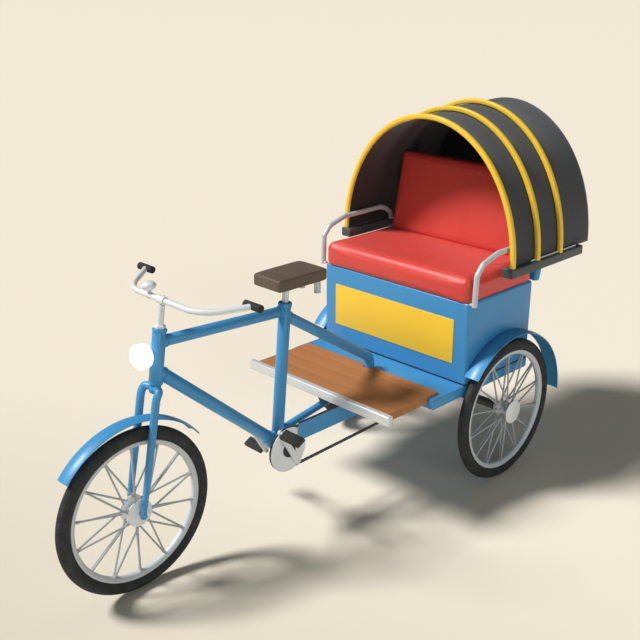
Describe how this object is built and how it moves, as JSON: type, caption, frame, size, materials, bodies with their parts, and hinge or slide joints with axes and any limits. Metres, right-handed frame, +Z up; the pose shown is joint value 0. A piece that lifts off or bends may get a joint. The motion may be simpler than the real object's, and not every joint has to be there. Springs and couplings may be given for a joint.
{
  "type": "cycle rickshaw",
  "caption": "Pedal-driven three-wheeled passenger rickshaw with a hooded bench over the rear axle, a footboard, and a cycle front with fork, handlebar and saddle.",
  "frame": {"origin": "middle of the bounding box in X and Y, at ground level below the tyres", "axes": "+X to the rider's left, +Y to the rear of the vehicle, +Z up"},
  "size_m": [1.077, 2.758, 1.7672],
  "materials": {
    "blue_paint": "gloss blue enamel",
    "yellow_paint": "gloss yellow enamel",
    "red_vinyl": "satin red vinyl",
    "hood_cloth": "matt black coated cloth",
    "dark_rail": "satin dark grey paint",
    "bright_metal": "polished",
    "saddle_brown": "matt brown leather",
    "board_wood": "oiled plank",
    "tyre": "matt black",
    "grip_rubber": "matt black",
    "chain_steel": "oiled dark steel",
    "lamp_glass": "clear white lens"
  },
  "bodies": {
    "carriage": {"armrest_left": "bright_metal", "armrest_right": "bright_metal", "axle_hanger_left": "dark_rail", "axle_hanger_right": "dark_rail", "back_cushion": "red_vinyl", "back_panel": "blue_paint", "chain": "chain_steel", "chain_guard": "blue_paint", "chassis": "blue_paint", "footboard": "board_wood", "footboard_bar": "bright_metal", "footboard_bearer_left": "blue_paint", "footboard_bearer_right": "blue_paint", "front_panel": "yellow_paint", "headlamp": "lamp_glass", "hood_canopy": "hood_cloth", "hood_hoop_1": "yellow_paint", "hood_hoop_2": "yellow_paint", "hood_hoop_3": "yellow_paint", "hood_rail_left": "dark_rail", "hood_rail_right": "dark_rail", "hood_rod_left": "bright_metal", "hood_rod_right": "bright_metal", "lamp_bracket": "blue_paint", "main_frame": "blue_paint", "rear_mudguard_left": "blue_paint", "rear_mudguard_right": "blue_paint", "saddle": "saddle_brown", "saddle_spring_left": "bright_metal", "saddle_spring_right": "bright_metal", "seat_board": "board_wood", "seat_box": "blue_paint", "seat_cushion": "red_vinyl", "seat_post": "bright_metal"},
    "fork": {"fork": "blue_paint", "front_axle": "bright_metal", "front_mudguard": "blue_paint", "stem": "bright_metal", "handlebar": "bright_metal", "grip_left": "grip_rubber", "grip_right": "grip_rubber", "bell": "bright_metal"},
    "front_wheel": {"front_wheel": "bright_metal", "front_tyre": "tyre"},
    "rear_drive": {"rear_axle": "bright_metal", "rear_wheel_left": "bright_metal", "rear_tyre_left": "tyre"},
    "rear_right_wheel": {"rear_wheel_right": "bright_metal", "rear_tyre_right": "tyre"},
    "crank": {"crank": "bright_metal"},
    "pedal_left": {"pedal_left": "grip_rubber"},
    "pedal_right": {"pedal_right": "grip_rubber"}
  },
  "joints": [
    {"name": "steering", "type": "hinge", "parent": "carriage", "child": "fork", "pos_m": [0, -0.893, 0.862], "axis": [0, 0.1594, 0.9872], "range_deg": [-50, 50]},
    {"name": "front_wheel_spin", "type": "hinge", "parent": "fork", "child": "front_wheel", "pos_m": [0, -1.024, 0.355], "axis": [1, 0, 0], "continuous": true},
    {"name": "rear_drive_spin", "type": "hinge", "parent": "carriage", "child": "rear_drive", "pos_m": [0.4835, 0.789, 0.355], "axis": [1, 0, 0], "continuous": true},
    {"name": "rear_right_wheel_spin", "type": "hinge", "parent": "carriage", "child": "rear_right_wheel", "pos_m": [-0.4835, 0.789, 0.355], "axis": [1, 0, 0], "continuous": true},
    {"name": "crank_spin", "type": "hinge", "parent": "carriage", "child": "crank", "pos_m": [0, -0.291, 0.39], "axis": [1, 0, 0], "continuous": true},
    {"name": "pedal_left_spin", "type": "hinge", "parent": "crank", "child": "pedal_left", "pos_m": [0.1965, -0.357, 0.50201], "axis": [1, 0, 0], "continuous": true},
    {"name": "pedal_right_spin", "type": "hinge", "parent": "crank", "child": "pedal_right", "pos_m": [-0.1965, -0.225, 0.27799], "axis": [1, 0, 0], "continuous": true}
  ]
}
